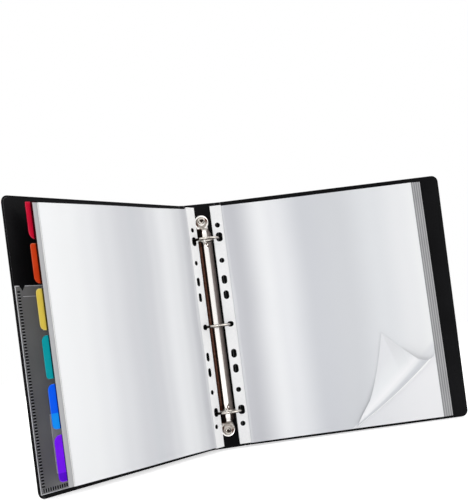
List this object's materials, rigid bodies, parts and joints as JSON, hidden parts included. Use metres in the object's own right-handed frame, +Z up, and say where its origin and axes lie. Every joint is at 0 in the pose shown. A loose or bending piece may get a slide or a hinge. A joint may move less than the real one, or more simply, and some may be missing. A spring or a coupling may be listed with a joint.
{
  "type": "presentation ring binder",
  "caption": "Presentation ring binder standing open: scored plastic cover, ring metal, clear sleeves, tabbed dividers, inner film pocket, outer label holder.",
  "frame": {"origin": "middle of the spine panel's lower edge, which stands on the floor", "axes": "+X across the open binder towards the back cover, -Y towards the reader, +Z up along the spine"},
  "size_m": [0.5283, 0.1947, 0.305],
  "materials": {
    "cover_black": "fine-grained matt polypropylene",
    "film_clear": "clear smooth film",
    "card_white": "white card",
    "ring_metal": "bright nickel plate",
    "sleeve_white": "smooth clear film over white paper",
    "strip_white": "white welded strip",
    "tab_red": "tinted smooth film",
    "tab_orange": "tinted smooth film",
    "tab_yellow": "tinted smooth film",
    "tab_teal": "tinted smooth film",
    "tab_blue": "tinted smooth film",
    "tab_purple": "tinted smooth film"
  },
  "bodies": {
    "spine": {"spine_panel": "cover_black", "ring_housing": "ring_metal", "rivet_top": "ring_metal", "rivet_bottom": "ring_metal"},
    "front_strip": {"front_hinge_strip": "cover_black"},
    "front_cover": {"front_cover": "cover_black", "inner_pocket": "film_clear", "card_pocket": "film_clear", "label_holder": "film_clear", "label_card": "card_white"},
    "back_strip": {"back_hinge_strip": "cover_black"},
    "back_cover": {"back_cover": "cover_black"},
    "left_ring_bank": {"left_blade": "ring_metal", "left_ring_top": "ring_metal", "left_ring_middle": "ring_metal", "left_ring_bottom": "ring_metal"},
    "right_ring_bank": {"right_blade": "ring_metal", "right_ring_top": "ring_metal", "right_ring_middle": "ring_metal", "right_ring_bottom": "ring_metal"},
    "left_pages": {"left_sleeve_1": "sleeve_white", "left_sleeve_2": "sleeve_white", "divider_1": "tab_red", "divider_2": "tab_orange", "divider_3": "tab_yellow", "divider_4": "tab_teal", "divider_5": "tab_blue", "divider_6": "tab_purple"},
    "right_pages": {"right_sleeve_1": "sleeve_white", "right_sleeve_2": "sleeve_white", "right_sleeve_3": "sleeve_white", "right_sleeve_4": "sleeve_white"},
    "left_top_page": {"left_top_sleeve": "sleeve_white", "left_sleeve_strip": "strip_white"},
    "right_top_page": {"right_top_sleeve": "sleeve_white", "right_sleeve_strip": "strip_white"}
  },
  "joints": [
    {"name": "front_fold", "type": "hinge", "parent": "spine", "child": "front_strip", "pos_m": [-0.01915, 0, 0], "axis": [0, 0, 1], "range_deg": [-21.4, 23.6]},
    {"name": "front_cover_fold", "type": "hinge", "parent": "front_strip", "child": "front_cover", "pos_m": [-0.02567, -0.00255, 0], "axis": [0, 0, 1], "range_deg": [-21.4, 23.6]},
    {"name": "back_fold", "type": "hinge", "parent": "spine", "child": "back_strip", "pos_m": [0.01915, 0, 0], "axis": [0, 0, -1], "range_deg": [-4.3, 40.7]},
    {"name": "back_cover_fold", "type": "hinge", "parent": "back_strip", "child": "back_cover", "pos_m": [0.02613, -0.00052, 0], "axis": [0, 0, -1], "range_deg": [-4.3, 40.7]},
    {"name": "ring_open", "type": "hinge", "parent": "spine", "child": "left_ring_bank", "pos_m": [-0.009, -0.0025, 0], "axis": [0, 0, 1], "range_deg": [-10, 0]},
    {"name": "ring_open_right", "type": "hinge", "parent": "spine", "child": "right_ring_bank", "pos_m": [0.009, -0.0025, 0], "axis": [0, 0, -1], "range_deg": [-10, 0]},
    {"name": "left_pages_turn", "type": "hinge", "parent": "spine", "child": "left_pages", "pos_m": [0, -0.019, 0], "axis": [0, 0, 1], "range_deg": [-42.8, 47.2]},
    {"name": "right_pages_turn", "type": "hinge", "parent": "spine", "child": "right_pages", "pos_m": [0, -0.019, 0], "axis": [0, 0, -1], "range_deg": [-8.6, 81.4]},
    {"name": "left_sleeve_turn", "type": "hinge", "parent": "left_pages", "child": "left_top_page", "pos_m": [0, -0.019, 0], "axis": [0, 0, -1], "range_deg": [-120, 0]},
    {"name": "right_sleeve_turn", "type": "hinge", "parent": "right_pages", "child": "right_top_page", "pos_m": [0, -0.019, 0], "axis": [0, 0, 1], "range_deg": [-120, 0]}
  ],
  "couplings": [
    {"joint": "front_fold", "follows": "left_pages_turn", "ratio": 0.5},
    {"joint": "front_cover_fold", "follows": "left_pages_turn", "ratio": 0.5},
    {"joint": "back_fold", "follows": "right_pages_turn", "ratio": 0.5},
    {"joint": "back_cover_fold", "follows": "right_pages_turn", "ratio": 0.5},
    {"joint": "ring_open_right", "follows": "ring_open", "ratio": 1}
  ]
}
